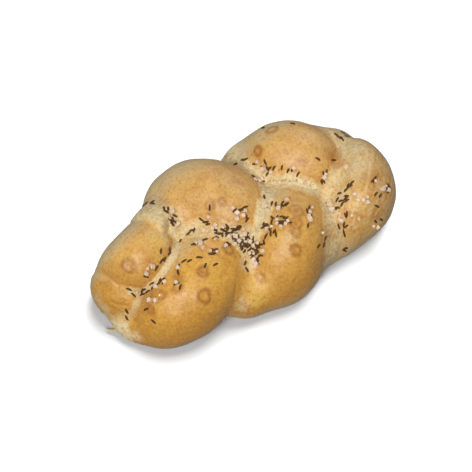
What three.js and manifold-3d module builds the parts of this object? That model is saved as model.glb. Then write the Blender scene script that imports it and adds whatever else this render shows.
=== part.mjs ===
// A braided milk bun: three ropes of soft dough plaited into a short loaf, baked golden
// brown, with caraway seeds and coarse salt lying in the seams between the ropes.
// Millimetres, +Z up. The loaf lies along X on its flat base at Z = 0.
import * as THREE from "three";
import { mergeVertices } from "three/addons/utils/BufferGeometryUtils.js";
import Module from "manifold-3d";

const wasm = await Module();
wasm.setup();

// The dough. Each swell is the fat stretch of a rope between the places where it dives
// under another rope. Its middle is at x, y, z. Its half sizes are long, wide and high.
// turn is its heading seen from above and lean its rise towards that heading, in
// degrees. bow bends both its ends to the left of the heading and sag bends them down.
const SWELLS = [
  {
    name: "left end", x: -60, y: 13, z: 21, long: 25, wide: 21, high: 26,
    turn: 15, lean: 7, bow: 7, sag: 2,
  },
  {
    name: "left fold", x: -76, y: 5, z: 13, long: 20, wide: 14, high: 18,
    turn: -59, lean: -5, bow: 3, sag: 3,
  },
  {
    name: "tail", x: -81, y: -7, z: 6, long: 12.5, wide: 9, high: 9,
    turn: -75, lean: -5, bow: 0, sag: 3,
  },
  {
    name: "lower left", x: -45.4, y: -13.4, z: 18, long: 40.3, wide: 24, high: 23,
    turn: 10, lean: 15, bow: 5, sag: 6,
  },
  {
    name: "middle back", x: -11, y: 20.3, z: 22, long: 39, wide: 25, high: 28,
    turn: -55, lean: 12, bow: -5, sag: 5,
  },
  {
    name: "middle front", x: 14.2, y: -19.8, z: 18, long: 35, wide: 22.6, high: 27,
    turn: 45, lean: 12, bow: 2, sag: 6,
  },
  {
    name: "right back", x: 44.2, y: 18, z: 22, long: 33.5, wide: 23, high: 26.5,
    turn: -53, lean: 4, bow: -4, sag: 6,
  },
  {
    name: "last fold", x: 60, y: 20.8, z: 18, long: 24, wide: 14, high: 20,
    turn: -35, lean: 15, bow: 5, sag: 6,
  },
  {
    name: "right end", x: 64.6, y: -15.4, z: 18, long: 32, wide: 19, high: 25,
    turn: 42, lean: 12, bow: 9.5, sag: 3,
  },
];
// The turns, where a rope doubles back at the loaf's edge from under the swell before.
const TURNS = [
  { name: "into middle back", x: -39, y: 20, z: 24, long: 16, wide: 13, high: 16 },
  { name: "into right back", x: 28.5, y: 39.5, z: 11, long: 19, wide: 12, high: 14 },
  { name: "into last fold", x: 54, y: 33, z: 11, long: 15, wide: 13, high: 16 },
  { name: "into middle front", x: -12, y: -31.2, z: 10, long: 22, wide: 14, high: 15 },
  { name: "into right end", x: 39, y: -27, z: 12, long: 19, wide: 14, high: 16 },
];
// The heart, the buried crossings of the ropes that close the loaf under its pits.
const HEART = { name: "heart", x: 0, y: 3, z: 6, long: 70, wide: 32, high: 17 };
const STRAIGHT = { turn: 0, lean: 0, bow: 0, sag: 0 };
const FULLNESS = 2.2; // 2 is an egg, more is a fuller roll
const SIDES = 18; // faces round a swell
const RINGS = 14; // faces along a swell

// The sprinkling. Each pinch fell along a line on the crust, seen from above, spread to
// both sides of it, with its number of seeds and of salt grains. The seeds of a pinch
// with a lie point about that way, in degrees from +X, and the others lie anyhow. Only
// the grains of at least the fused size are large enough to count in the solid.
const PINCHES = [
  {
    place: "left notch", from: [-44, 38], to: [-38, 31], spread: 1.5,
    seeds: 4, salts: 0,
  },
  {
    place: "left pit", from: [-37, 22], to: [-36, 14], spread: 2.6, lie: -85,
    seeds: 8, salts: 3,
  },
  {
    place: "left pit, right", from: [-37, 6], to: [-28, 7], spread: 1.4, lie: 10,
    seeds: 4, salts: 0,
  },
  {
    place: "middle back swell, foot", from: [-27, 4], to: [-19, 7], spread: 2.6,
    seeds: 5, salts: 2,
  },
  {
    place: "left seam, high", from: [-47, 3], to: [-58, -2], spread: 2.6, lie: 25,
    seeds: 6, salts: 0,
  },
  {
    place: "left seam, beside", from: [-61, -3], to: [-67, -3], spread: 1.5, lie: -10,
    seeds: 1, salts: 3,
  },
  {
    place: "left fold's seam", from: [-76, 0], to: [-74, -3], spread: 0.3, lie: -75,
    seeds: 2, salts: 0,
  },
  {
    place: "left seam, low", from: [-73, -6], to: [-58, -12], spread: 1.7, lie: 10,
    seeds: 10, salts: 4,
  },
  {
    place: "tail's seam", from: [-81, -7], to: [-83, -9], spread: 0.3, lie: 45,
    seeds: 2, salts: 0,
  },
  {
    place: "lower left swell, low", from: [-74, -14], to: [-74, -24], spread: 0.3, lie: -45,
    seeds: 2, salts: 0,
  },
  {
    place: "lower left swell, left", from: [-71, -14], to: [-64, -18], spread: 1.5,
    seeds: 0, salts: 3,
  },
  {
    place: "lower left swell, ring", from: [-57, -17], to: [-54, -19], spread: 1.5, lie: 20,
    seeds: 2, salts: 2,
  },
  {
    place: "lower left swell, first pair", from: [-48, -7], to: [-52, -14], spread: 0.3, lie: 50,
    seeds: 2, salts: 1,
  },
  {
    place: "lower left swell, line", from: [-46, -10], to: [-38, -12], spread: 1.5, lie: -10,
    seeds: 3, salts: 0,
  },
  {
    place: "lower left swell, second pair", from: [-40, -17], to: [-32, -20], spread: 0.3, lie: 15,
    seeds: 2, salts: 0,
  },
  {
    place: "lower left swell, top left", from: [-34, -1], to: [-33, -9], spread: 2.5,
    seeds: 2, salts: 3,
  },
  {
    place: "lower left swell, top middle", from: [-32, -12], to: [-27, -12], spread: 2.5, lie: -35,
    seeds: 4, salts: 2,
  },
  {
    place: "lower left swell, top", from: [-27, -5], to: [-19, -2], spread: 2.8,
    seeds: 4, salts: 3,
  },
  {
    place: "lower left swell, top right", from: [-22, -10], to: [-20, -13], spread: 1.5, lie: -75,
    seeds: 2, salts: 1,
  },
  {
    place: "middle pit, left", from: [-20, -3], to: [-12, -10], spread: 3.2,
    seeds: 20, salts: 5,
  },
  {
    place: "middle pit", from: [-12, -10], to: [-8, -22], spread: 4.8,
    seeds: 46, salts: 14,
  },
  {
    place: "below the pit", from: [-9, -22], to: [-12, -28], spread: 2.2,
    seeds: 6, salts: 6,
  },
  {
    place: "below the pit, left", from: [-15, -20], to: [-18, -29], spread: 1, lie: -105,
    seeds: 2, salts: 0,
  },
  {
    place: "middle back swell, low left", from: [-11, 0], to: [2, -4], spread: 2.5, lie: 0,
    seeds: 4, salts: 0,
  },
  {
    place: "middle back swell, salt", from: [-8, -1], to: [-3, -6], spread: 3,
    seeds: 0, salts: 5,
  },
  {
    place: "middle back swell, low right", from: [-10, -6], to: [0, -8], spread: 2, lie: 30,
    seeds: 3, salts: 0,
  },
  {
    place: "middle back swell, edge", from: [15, 16], to: [20, 14], spread: 1.8, lie: -80,
    seeds: 5, salts: 4,
  },
  {
    place: "middle seam", from: [16, 6], to: [1, -17], spread: 2,
    seeds: 2, salts: 6,
  },
  {
    place: "right back swell, left end", from: [14, 35], to: [21, 30], spread: 0.8, lie: -35,
    seeds: 3, salts: 0,
  },
  {
    place: "right back swell, left", from: [21, 23], to: [24, 24], spread: 1.2, lie: -30,
    seeds: 2, salts: 1,
  },
  {
    place: "right back swell, left low", from: [24, 20], to: [24, 16], spread: 2, lie: 50,
    seeds: 4, salts: 3,
  },
  {
    place: "right back swell, low", from: [25, 15], to: [33, 7], spread: 2.2, lie: 40,
    seeds: 4, salts: 1,
  },
  {
    place: "right back swell, low right", from: [35, 8], to: [36, 2], spread: 1.5, lie: 30,
    seeds: 2, salts: 1,
  },
  {
    place: "right back swell, top", from: [35, 41], to: [55, 26], spread: 0.3, lie: -55,
    seeds: 2, salts: 0,
  },
  {
    place: "right back swell, right", from: [45, 4], to: [59, -1], spread: 0.3, lie: -30,
    seeds: 2, salts: 0,
  },
  {
    place: "right back swell, column", from: [50, -3], to: [46, -8], spread: 1.2, lie: 50,
    seeds: 4, salts: 2,
  },
  {
    place: "middle front swell, top left", from: [12, -8], to: [20, -11], spread: 4, lie: 40,
    seeds: 6, salts: 2,
  },
  {
    place: "middle front swell, top", from: [4, -17], to: [12, -20], spread: 4.5,
    seeds: 20, salts: 8,
  },
  {
    place: "middle front swell, left", from: [-3, -21], to: [6, -23], spread: 2, lie: 30,
    seeds: 5, salts: 0,
  },
  {
    place: "middle front swell, column", from: [29, -18], to: [22, -27], spread: 1.8, lie: 50,
    seeds: 5, salts: 5,
  },
  {
    place: "middle front swell, right", from: [30, -32], to: [20, -39], spread: 0.8, lie: 45,
    seeds: 3, salts: 1,
  },
  {
    place: "middle front swell, right top", from: [44, -15], to: [42, -24], spread: 1, lie: -80,
    seeds: 2, salts: 4,
  },
  {
    place: "right seam, top", from: [53, -19], to: [57, -20], spread: 1.8, lie: 20,
    seeds: 4, salts: 0,
  },
  {
    place: "right seam, upper", from: [50, -19], to: [52, -26], spread: 1.8, lie: -20,
    seeds: 5, salts: 0,
  },
  {
    place: "right seam, lower", from: [47, -20], to: [46, -26], spread: 2, lie: -15,
    seeds: 4, salts: 0,
  },
  {
    place: "right end swell, left", from: [47, -28], to: [38, -34], spread: 2, lie: 50,
    seeds: 4, salts: 0,
  },
  {
    place: "right end swell, left middle", from: [43, -32], to: [41, -37], spread: 1.8, lie: 40,
    seeds: 3, salts: 0,
  },
  {
    place: "right end swell, left low", from: [38, -37], to: [40, -41], spread: 0.8, lie: -55,
    seeds: 2, salts: 0,
  },
  {
    place: "right end swell, salt", from: [40, -29], to: [50, -34], spread: 2,
    seeds: 0, salts: 4,
  },
  {
    place: "right end swell, salt line", from: [54, -24], to: [61, -34], spread: 2.2,
    seeds: 0, salts: 5,
  },
  {
    place: "right end swell, salt low", from: [56, -38], to: [62, -36], spread: 1.5,
    seeds: 0, salts: 2,
  },
  {
    place: "right end swell, first salt", from: [65, -4], to: [60, -14], spread: 2,
    seeds: 0, salts: 2,
  },
  {
    place: "right end swell, top right", from: [68, -23], to: [68, -26], spread: 1.6, lie: 40,
    seeds: 3, salts: 1,
  },
  {
    place: "right end swell, right", from: [62, -29], to: [69, -32], spread: 1, lie: 30,
    seeds: 2, salts: 0,
  },
  {
    place: "right end swell, edge", from: [72, -29], to: [75, -30], spread: 2,
    seeds: 4, salts: 3,
  },
  {
    place: "right end swell, low", from: [64, -34], to: [61, -40], spread: 1.8, lie: -55,
    seeds: 3, salts: 0,
  },
  {
    place: "last fold's seam", from: [70, 15], to: [73, 9], spread: 0.8, lie: -80,
    seeds: 3, salts: 0,
  },
];
const SEED = {
  dice: 1, shortest: 3.3, longest: 4.0, fused: 3.72, thick: 1.3, curve: 0.06, sides: 5, rings: 4,
};
const SALT = { dice: 9001, shortest: 1.5, longest: 2.8, fused: 2.4, uneven: 0.35 };
const SUNK = 0.3; // share of its thickness that a grain sits in the crust
const TILT = 0.35; // how far a grain's lie may lean from the crust, in radians
const SWAY = 80; // how far apart the seeds of one lie may point, in degrees
const STEEP = 0.5; // a grain slides on while the crust's normal points up by less
const SLIDE = 1.5; // length of one slide downhill
const SLIDES = 5; // most slides of one grain
const DROP = 100; // height that the grains fall from
const TABLE = { across: 400, deep: 100 }; // what the dough is cut off against, below Z = 0

// The draws of a dice between 0 and 1, always the same ones for the same number: the
// fractions of a steep wave.
function dice(number) {
  let draws = 0;
  return () => {
    draws += 1;
    const wave = 43758.5453 * Math.sin(12.9898 * number + 78.233 * draws);
    return wave - Math.floor(wave);
  };
}

// The heading, left and up directions of a swell.
function axesOf(swell) {
  const turn = THREE.MathUtils.degToRad(swell.turn);
  const lean = THREE.MathUtils.degToRad(swell.lean);
  const ahead = new THREE.Vector3(
    Math.cos(turn) * Math.cos(lean),
    Math.sin(turn) * Math.cos(lean),
    Math.sin(lean),
  );
  const left = new THREE.Vector3(-Math.sin(turn), Math.cos(turn), 0);
  const up = new THREE.Vector3().crossVectors(ahead, left);
  return { ahead, left, up };
}

// A swell's skin: a ball pulled to its half sizes, filled out, bent and laid in place.
function swellGeometry(swell) {
  const geometry = new THREE.SphereGeometry(1, SIDES, RINGS);
  const { ahead, left, up } = axesOf(swell);
  const spots = geometry.getAttribute("position");
  const spot = new THREE.Vector3();
  const power = 2 / FULLNESS;
  for (let i = 0; i < spots.count; i += 1) {
    spot.fromBufferAttribute(spots, i);
    const girth = Math.hypot(spot.x, spot.z);
    const fuller = girth > 0 ? Math.pow(girth, power) / girth : 0;
    const along = Math.sign(spot.y) * Math.pow(Math.abs(spot.y), power);
    const bend = along * along;
    const place = new THREE.Vector3(swell.x, swell.y, swell.z)
      .addScaledVector(ahead, along * swell.long)
      .addScaledVector(left, spot.z * fuller * swell.wide + swell.bow * (bend - 1 / 3))
      .addScaledVector(up, spot.x * fuller * swell.high - swell.sag * bend);
    spots.setXYZ(i, place.x, place.y, place.z);
  }
  return geometry;
}

// A closed geometry as a solid that can be joined and cut.
function solidOf(geometry) {
  const plain = geometry.clone();
  plain.deleteAttribute("normal");
  plain.deleteAttribute("uv");
  const merged = mergeVertices(plain, 1e-4);
  return new wasm.Manifold(
    new wasm.Mesh({
      numProp: 3,
      vertProperties: new Float32Array(merged.getAttribute("position").array),
      triVerts: new Uint32Array(merged.index.array),
    }),
  );
}

// A solid as a geometry.
function geometryOf(solid) {
  const mesh = solid.getMesh();
  const geometry = new THREE.BufferGeometry();
  geometry.setAttribute("position", new THREE.BufferAttribute(mesh.vertProperties, 3));
  geometry.setIndex(new THREE.BufferAttribute(mesh.triVerts, 1));
  geometry.computeVertexNormals();
  return geometry;
}

// The plaited dough, cut flat where it lies on its base.
function dough() {
  let loaf = solidOf(swellGeometry({ ...STRAIGHT, ...HEART }));
  for (const swell of [...SWELLS, ...TURNS]) {
    loaf = loaf.add(solidOf(swellGeometry({ ...STRAIGHT, ...swell })));
  }
  const below = new THREE.BoxGeometry(TABLE.across, TABLE.across, TABLE.deep);
  below.translate(0, 0, -TABLE.deep / 2);
  return loaf.subtract(solidOf(below));
}

// Where a grain that falls at x, y comes to lie on the crust, and the crust's normal.
function landing(skin, x, y) {
  const from = new THREE.Vector3(x, y, DROP);
  const ray = new THREE.Raycaster(from, new THREE.Vector3(0, 0, -1));
  let hit = ray.intersectObject(skin)[0];
  for (let slide = 0; hit && hit.face.normal.z < STEEP && slide < SLIDES; slide += 1) {
    const downhill = new THREE.Vector2(hit.face.normal.x, hit.face.normal.y).setLength(SLIDE);
    ray.ray.origin.set(hit.point.x + downhill.x, hit.point.y + downhill.y, DROP);
    hit = ray.intersectObject(skin)[0] ?? hit;
  }
  return hit ? { point: hit.point, normal: hit.face.normal } : null;
}

// A caraway seed: a thin spindle, bent sideways into a crescent.
function seedGeometry(long) {
  const geometry = new THREE.SphereGeometry(1, SEED.sides, SEED.rings);
  geometry.scale(SEED.thick / 2, long / 2, SEED.thick / 2);
  const spots = geometry.getAttribute("position");
  for (let i = 0; i < spots.count; i += 1) {
    const share = spots.getY(i) / (long / 2);
    spots.setX(i, spots.getX(i) + SEED.curve * long * share * share);
  }
  return { geometry, thick: SEED.thick };
}

// A grain of coarse salt: a block with each corner pulled out of true.
function saltGeometry(size, roll) {
  const geometry = new THREE.BoxGeometry(size, size, size);
  const pulls = Array.from({ length: 8 }, () => 1 - SALT.uneven * roll());
  const spots = geometry.getAttribute("position");
  for (let i = 0; i < spots.count; i += 1) {
    const corner = (spots.getX(i) > 0) + 2 * (spots.getY(i) > 0) + 4 * (spots.getZ(i) > 0);
    const pull = pulls[corner];
    spots.setXYZ(i, spots.getX(i) * pull, spots.getY(i) * pull, spots.getZ(i) * pull);
  }
  return { geometry, thick: size };
}

// All the fused grains of one kind, lying on the crust. Each grain has a dice of its own,
// numbered by its kind, its pinch and its place in the pinch.
function grains(skin, kind, sizes, makeGrain) {
  const solids = [];
  PINCHES.forEach((pinch, p) => {
    for (let i = 0; i < pinch[kind]; i += 1) {
      const roll = dice(sizes.dice + 100 * p + i);
      const along = (i + roll()) / pinch[kind];
      const reach = pinch.spread * Math.sqrt(roll());
      const around = 2 * Math.PI * roll();
      const x = THREE.MathUtils.lerp(pinch.from[0], pinch.to[0], along) + reach * Math.cos(around);
      const y = THREE.MathUtils.lerp(pinch.from[1], pinch.to[1], along) + reach * Math.sin(around);
      const lean = [TILT * (roll() - 0.5), TILT * (roll() - 0.5)];
      const swing = roll();
      const points = pinch.lie === undefined ? 360 * swing : pinch.lie + SWAY * (swing - 0.5);
      const lie = new THREE.Euler(lean[0], lean[1], THREE.MathUtils.degToRad(points - 90));
      const size = THREE.MathUtils.lerp(sizes.shortest, sizes.longest, roll());
      const spot = size >= sizes.fused ? landing(skin, x, y) : null;
      if (!spot) continue;
      const { geometry, thick } = makeGrain(size, roll);
      const stand = new THREE.Quaternion().setFromUnitVectors(new THREE.Vector3(0, 0, 1), spot.normal);
      geometry.applyQuaternion(new THREE.Quaternion().setFromEuler(lie));
      geometry.applyQuaternion(stand);
      spot.point.addScaledVector(spot.normal, thick * (0.5 - SUNK));
      geometry.translate(spot.point.x, spot.point.y, spot.point.z);
      solids.push(solidOf(geometry));
    }
  });
  return solids;
}

// The dough with its seeds and salt fused on, without any loose scrap.
function sprinkled(loaf) {
  const skin = new THREE.Mesh(geometryOf(loaf));
  let whole = loaf;
  const seeds = grains(skin, "seeds", SEED, seedGeometry);
  const salts = grains(skin, "salts", SALT, saltGeometry);
  for (const grain of [...seeds, ...salts]) {
    whole = whole.add(grain);
  }
  return whole.decompose().sort((a, b) => b.volume() - a.volume())[0];
}

// The bun stands with the middle of its box over the origin.
const group = new THREE.Group();
const crust = new THREE.MeshStandardMaterial({ color: 0xcf9550, roughness: 0.5, metalness: 0 });
const bun = new THREE.Mesh(geometryOf(sprinkled(dough())), crust);
bun.name = "bun";
bun.geometry.computeBoundingBox();
const middle = bun.geometry.boundingBox.getCenter(new THREE.Vector3());
bun.position.set(-middle.x, -middle.y, 0);
group.add(bun);

export default group;
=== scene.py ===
# A braided milk bun: three ropes of soft milk dough plaited into a short loaf, baked
# golden brown, with caraway seeds and coarse salt in the pale seams between the ropes.
import math

import bpy
import numpy as np
from mathutils import Euler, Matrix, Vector, noise
from mathutils.bvhtree import BVHTree


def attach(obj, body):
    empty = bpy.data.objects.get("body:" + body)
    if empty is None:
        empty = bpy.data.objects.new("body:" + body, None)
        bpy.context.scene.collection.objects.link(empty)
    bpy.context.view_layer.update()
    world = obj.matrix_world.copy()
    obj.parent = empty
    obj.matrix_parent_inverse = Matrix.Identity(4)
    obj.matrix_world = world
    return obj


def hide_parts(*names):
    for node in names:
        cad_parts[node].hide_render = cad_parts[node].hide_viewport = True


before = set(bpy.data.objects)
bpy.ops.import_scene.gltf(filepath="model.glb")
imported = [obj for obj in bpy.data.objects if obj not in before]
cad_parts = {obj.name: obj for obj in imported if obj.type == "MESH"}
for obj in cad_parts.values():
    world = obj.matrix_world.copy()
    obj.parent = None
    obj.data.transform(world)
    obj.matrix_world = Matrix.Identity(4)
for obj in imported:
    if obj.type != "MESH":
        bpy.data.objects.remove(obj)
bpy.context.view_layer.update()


# The dough. Three ropes of soft yeast dough are plaited by hand and rise until their fat
# swells press on each other. Each swell has a middle, half sizes along it, across it and
# up, its heading and lean in degrees, and a bend sideways (bow) and down (sag) of its ends.
MM = 0.001
BOX_MIDDLE = (0.96, -2.37, 0.0)  # the plait's own middle lies here, from its box's middle
FULLNESS = 2.2  # 2 is an egg, more is a fuller roll
LEFT_END = dict(at=(-60, 13, 21), half=(25, 21, 26), turn=15, lean=7, bow=7, sag=2)
LEFT_FOLD = dict(at=(-76, 5, 13), half=(20, 14, 18), turn=-59, lean=-5, bow=3, sag=3)
TAIL = dict(at=(-81, -7, 6), half=(12.5, 9, 9), turn=-75, lean=-5, sag=3)
LOWER_LEFT = dict(at=(-45.4, -13.4, 18), half=(40.3, 24, 23), turn=10, lean=15, bow=5, sag=6)
MIDDLE_BACK = dict(at=(-11, 20.3, 22), half=(39, 25, 28), turn=-55, lean=12, bow=-5, sag=5)
MIDDLE_FRONT = dict(at=(14.2, -19.8, 18), half=(35, 22.6, 27), turn=45, lean=12, bow=2, sag=6)
RIGHT_BACK = dict(at=(44.2, 18, 22), half=(33.5, 23, 26.5), turn=-53, lean=4, bow=-4, sag=6)
LAST_FOLD = dict(at=(60, 20.8, 18), half=(24, 14, 20), turn=-35, lean=15, bow=5, sag=6)
RIGHT_END = dict(at=(64.6, -15.4, 18), half=(32, 19, 25), turn=42, lean=12, bow=9.5, sag=3)
INTO_MIDDLE_BACK = dict(at=(-39, 20, 24), half=(16, 13, 16))
INTO_RIGHT_BACK = dict(at=(28.5, 39.5, 11), half=(19, 12, 14))
INTO_LAST_FOLD = dict(at=(54, 33, 11), half=(15, 13, 16))
INTO_MIDDLE_FRONT = dict(at=(-12, -31.2, 10), half=(22, 14, 15))
INTO_RIGHT_END = dict(at=(39, -27, 12), half=(19, 14, 16))
HEART = dict(at=(0, 3, 6), half=(70, 32, 17))
FIRST_ROPE = [LEFT_END, INTO_MIDDLE_FRONT, MIDDLE_FRONT, INTO_LAST_FOLD, LAST_FOLD]
SECOND_ROPE = [LEFT_FOLD, INTO_MIDDLE_BACK, MIDDLE_BACK, INTO_RIGHT_END, RIGHT_END]
THIRD_ROPE = [TAIL, LOWER_LEFT, INTO_RIGHT_BACK, RIGHT_BACK]
ROPES = [FIRST_ROPE, SECOND_ROPE, THIRD_ROPE]
FLOW = 7.0  # mm over which the swells of one rope run into each other
FILLET = 3.2  # mm over which two ropes have baked together
HEART_FLOW = 5.0
FOOT = 2.5  # mm over which the crust turns under to the flat base
MEAN_BEND = 1 / 3  # taken off a bow, so that the swell's middle stays in its place
TINY = 1e-6
# The seams between the ropes, seen from above. fill is how much wider than elsewhere the
# ropes have baked together there. A band as wide as wide has torn open to the crumb, by
# the share pale, and the last value is how much of that band is greyed with painted shade
# instead of cream.
ANY_SEAM = dict(fill=0, wide=3.0, pale=0.3, dim=0.3)
SEAMS = [
    dict(at=(-50, 40), to=(-39, 29), near=12, fill=8, wide=10, pale=0.8, dim=0.1),
    dict(at=(-39, 29), to=(-36, 16), near=16, fill=14, wide=9, pale=0.7, dim=0.15),
    dict(at=(-36, 13), to=(-51, -2), near=7, fill=0, wide=3.6, pale=0.8, dim=0.4),
    dict(at=(-51, -2), to=(-62, -8), near=7, fill=0, wide=3.2, pale=0.85, dim=0.2),
    dict(at=(-62, -8), to=(-78, -6), near=6, fill=0, wide=2.4, pale=0.7, dim=0.2),
    dict(at=(-77, 1), to=(-73, -3), near=5, fill=0, wide=3.0, pale=0.6, dim=0.1),
    dict(at=(-92, 24), to=(-90, 10), near=7, fill=5, wide=1.0, pale=0.0, dim=0.0),
    dict(at=(-88, 8), to=(-79, 1), near=5, fill=1, wide=1.2, pale=0.0, dim=0.0),
    dict(at=(-34, 13), to=(-26, 6), near=9, fill=4, wide=8, pale=0.8, dim=0.1),
    dict(at=(-26, 6), to=(-10, -11), near=9, fill=5, wide=8, pale=0.8, dim=0.2),
    dict(at=(-10, -11), to=(-10, -26), near=9, fill=5, wide=9, pale=0.85, dim=0.3),
    dict(at=(-12, -28), to=(-29, -38), near=10, fill=5, wide=1.5, pale=0.0, dim=0.0),
    dict(at=(21, 13), to=(0, -19), near=8, fill=6, wide=6.5, pale=0.9, dim=0.25),
    dict(at=(23, 12), to=(43, -16), near=10, fill=5, wide=8.5, pale=0.95, dim=0.05),
    dict(at=(14, 46), to=(21, 15), near=11, fill=5, wide=10, pale=0.9, dim=0.2),
    dict(at=(42, -16), to=(38, -30), near=9, fill=5, wide=8, pale=0.7, dim=0.8),
    dict(at=(38, -30), to=(23, -42), near=9, fill=5, wide=8, pale=0.6, dim=0.9),
    dict(at=(45, -15), to=(70, 0), near=9, fill=4, wide=8, pale=0.65, dim=0.45),
    dict(at=(70, 0), to=(74, 13), near=8, fill=3, wide=7, pale=0.55, dim=0.5),
]
SEAM_FULL = 0.5  # share of its near up to which a seam has its full say
SKIN_GRAIN = 0.72  # mm between the points of the crust's mesh
PULLS, LONGEST_PULL = 5, 1.2  # how often and how far, in mm, a point is drawn to the skin
LEAST_STEEP = 0.05


def axes_of(swell):
    turn = math.radians(swell.get("turn", 0))
    lean = math.radians(swell.get("lean", 0))
    ahead = np.array(
        [math.cos(turn) * math.cos(lean), math.sin(turn) * math.cos(lean), math.sin(lean)]
    )
    left = np.array([-math.sin(turn), math.cos(turn), 0.0])
    return ahead, left, np.cross(ahead, left)


def shape_swell(ball, swell):
    """Pulls a ball with its poles on Z to the swell's form, in metres."""
    ahead, left, up = axes_of(swell)
    long, wide, high = swell["half"]
    power = 2 / FULLNESS
    middle = np.array(swell["at"], float) + BOX_MIDDLE
    for point in ball.data.vertices:
        x, y, z = point.co
        girth = math.hypot(x, y)
        fuller = girth**power / girth if girth > 0 else 0.0
        along = math.copysign(abs(z) ** power, z)
        bend = along * along
        place = middle + ahead * (along * long)
        place = place + left * (y * fuller * wide + swell.get("bow", 0) * (bend - MEAN_BEND))
        place = place + up * (x * fuller * high - swell.get("sag", 0) * bend)
        point.co = place * MM


def outside_swell(swell, spots):
    """How far each spot is outside the swell's skin, in mm, less than zero inside."""
    ahead, left, up = axes_of(swell)
    long, wide, high = swell["half"]
    bow, sag = swell.get("bow", 0), swell.get("sag", 0)
    away = spots - (np.array(swell["at"], float) + BOX_MIDDLE)
    along = away @ ahead / long
    across = (away @ left - bow * (along * along - MEAN_BEND)) / wide
    over = (away @ up + sag * along * along) / high
    girth = np.maximum(np.hypot(across, over), TINY)
    reach = (np.abs(along) ** FULLNESS + girth**FULLNESS) ** (1 / FULLNESS)
    reach = np.maximum(reach, TINY)
    by_along = (np.abs(along) / reach) ** (FULLNESS - 1) * np.sign(along)
    by_girth = (girth / reach) ** (FULLNESS - 1)
    to_left = by_girth * across / girth / wide
    to_up = by_girth * over / girth / high
    to_front = by_along / long
    to_front = to_front - to_left * 2 * bow * along / long + to_up * 2 * sag * along / long
    return (reach - 1) / np.sqrt(to_front**2 + to_left**2 + to_up**2)


def run_together(one, other, width):
    """The nearer of two distances, rounded where they differ by less than the width."""
    close = np.maximum(width - np.abs(one - other), 0) / width
    return np.minimum(one, other) - close * close * width / 4


def outside_rope(rope, spots):
    whole = outside_swell(rope[0], spots)
    for swell in rope[1:]:
        whole = run_together(whole, outside_swell(swell, spots), FLOW)
    return whole


def smooth_step(low, high, value):
    share = np.clip((value - low) / (high - low), 0, 1)
    return share * share * (3 - 2 * share)


def seam_value(spots, key):
    """A value of the seams near each spot, seen from above, or else the one of any seam."""
    value = np.full(len(spots), float(ANY_SEAM[key]))
    for seam in SEAMS:
        start, line = np.array(seam["at"]), np.subtract(seam["to"], seam["at"])
        away = spots[:, :2] - BOX_MIDDLE[:2] - start
        along = np.clip(away @ line / (line @ line), 0, 1)
        reach = np.linalg.norm(away - along[:, None] * line, axis=1)
        share = 1 - smooth_step(SEAM_FULL, 1.0, reach / seam["near"])
        value += share * (seam[key] - value)
    return value


def outside_loaf(spots):
    loaf = outside_rope(ROPES[0], spots)
    fillet = FILLET + seam_value(spots, "fill")
    for rope in ROPES[1:]:
        loaf = run_together(loaf, outside_rope(rope, spots), fillet)
    loaf = run_together(loaf, outside_swell(HEART, spots), HEART_FLOW)
    return -run_together(-loaf, spots[:, 2], FOOT)


def slope_of(distance, spots, step=0.05):
    """The distance at each spot and the direction in which it grows."""
    here = distance(spots)
    slopes = [(distance(spots + step * axis) - here) / step for axis in np.eye(3)]
    return here, np.stack(slopes, axis=1)


bpy.ops.object.select_all(action="DESELECT")
balls = []
for swell in [*FIRST_ROPE, *SECOND_ROPE, *THIRD_ROPE, HEART]:
    bpy.ops.mesh.primitive_uv_sphere_add(segments=48, ring_count=32, radius=1)
    shape_swell(bpy.context.object, swell)
    bpy.ops.object.mode_set(mode="EDIT")
    bpy.ops.mesh.select_all(action="SELECT")
    bpy.ops.mesh.normals_make_consistent(inside=False)
    bpy.ops.mesh.bisect(plane_co=(0, 0, 0), plane_no=(0, 0, 1), use_fill=True, clear_inner=True)
    bpy.ops.object.mode_set(mode="OBJECT")
    balls.append(bpy.context.object)
for ball in balls:
    ball.select_set(True)
bpy.ops.object.join()
crust = bpy.context.object
crust.name = crust.data.name = "crust"
remesh = crust.modifiers.new("skin", "REMESH")
remesh.mode = "VOXEL"
remesh.voxel_size = SKIN_GRAIN * MM
bpy.ops.object.modifier_apply(modifier=remesh.name)

# The skin is drawn onto the smooth loaf, point by point.
spots = np.empty(len(crust.data.vertices) * 3)
crust.data.vertices.foreach_get("co", spots)
spots = spots.reshape(-1, 3) / MM
for pull in range(PULLS):
    away, slope = slope_of(outside_loaf, spots)
    steep = np.maximum((slope**2).sum(axis=1), LEAST_STEEP)
    shift = -(away / steep)[:, None] * slope
    far = np.maximum(np.linalg.norm(shift, axis=1), TINY)
    spots = spots + shift * np.minimum(1, LONGEST_PULL / far)[:, None]
spots[:, 2] = np.maximum(spots[:, 2], 0)
away, slope = slope_of(outside_loaf, spots)
outward = slope / np.maximum(np.linalg.norm(slope, axis=1), TINY)[:, None]


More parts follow.
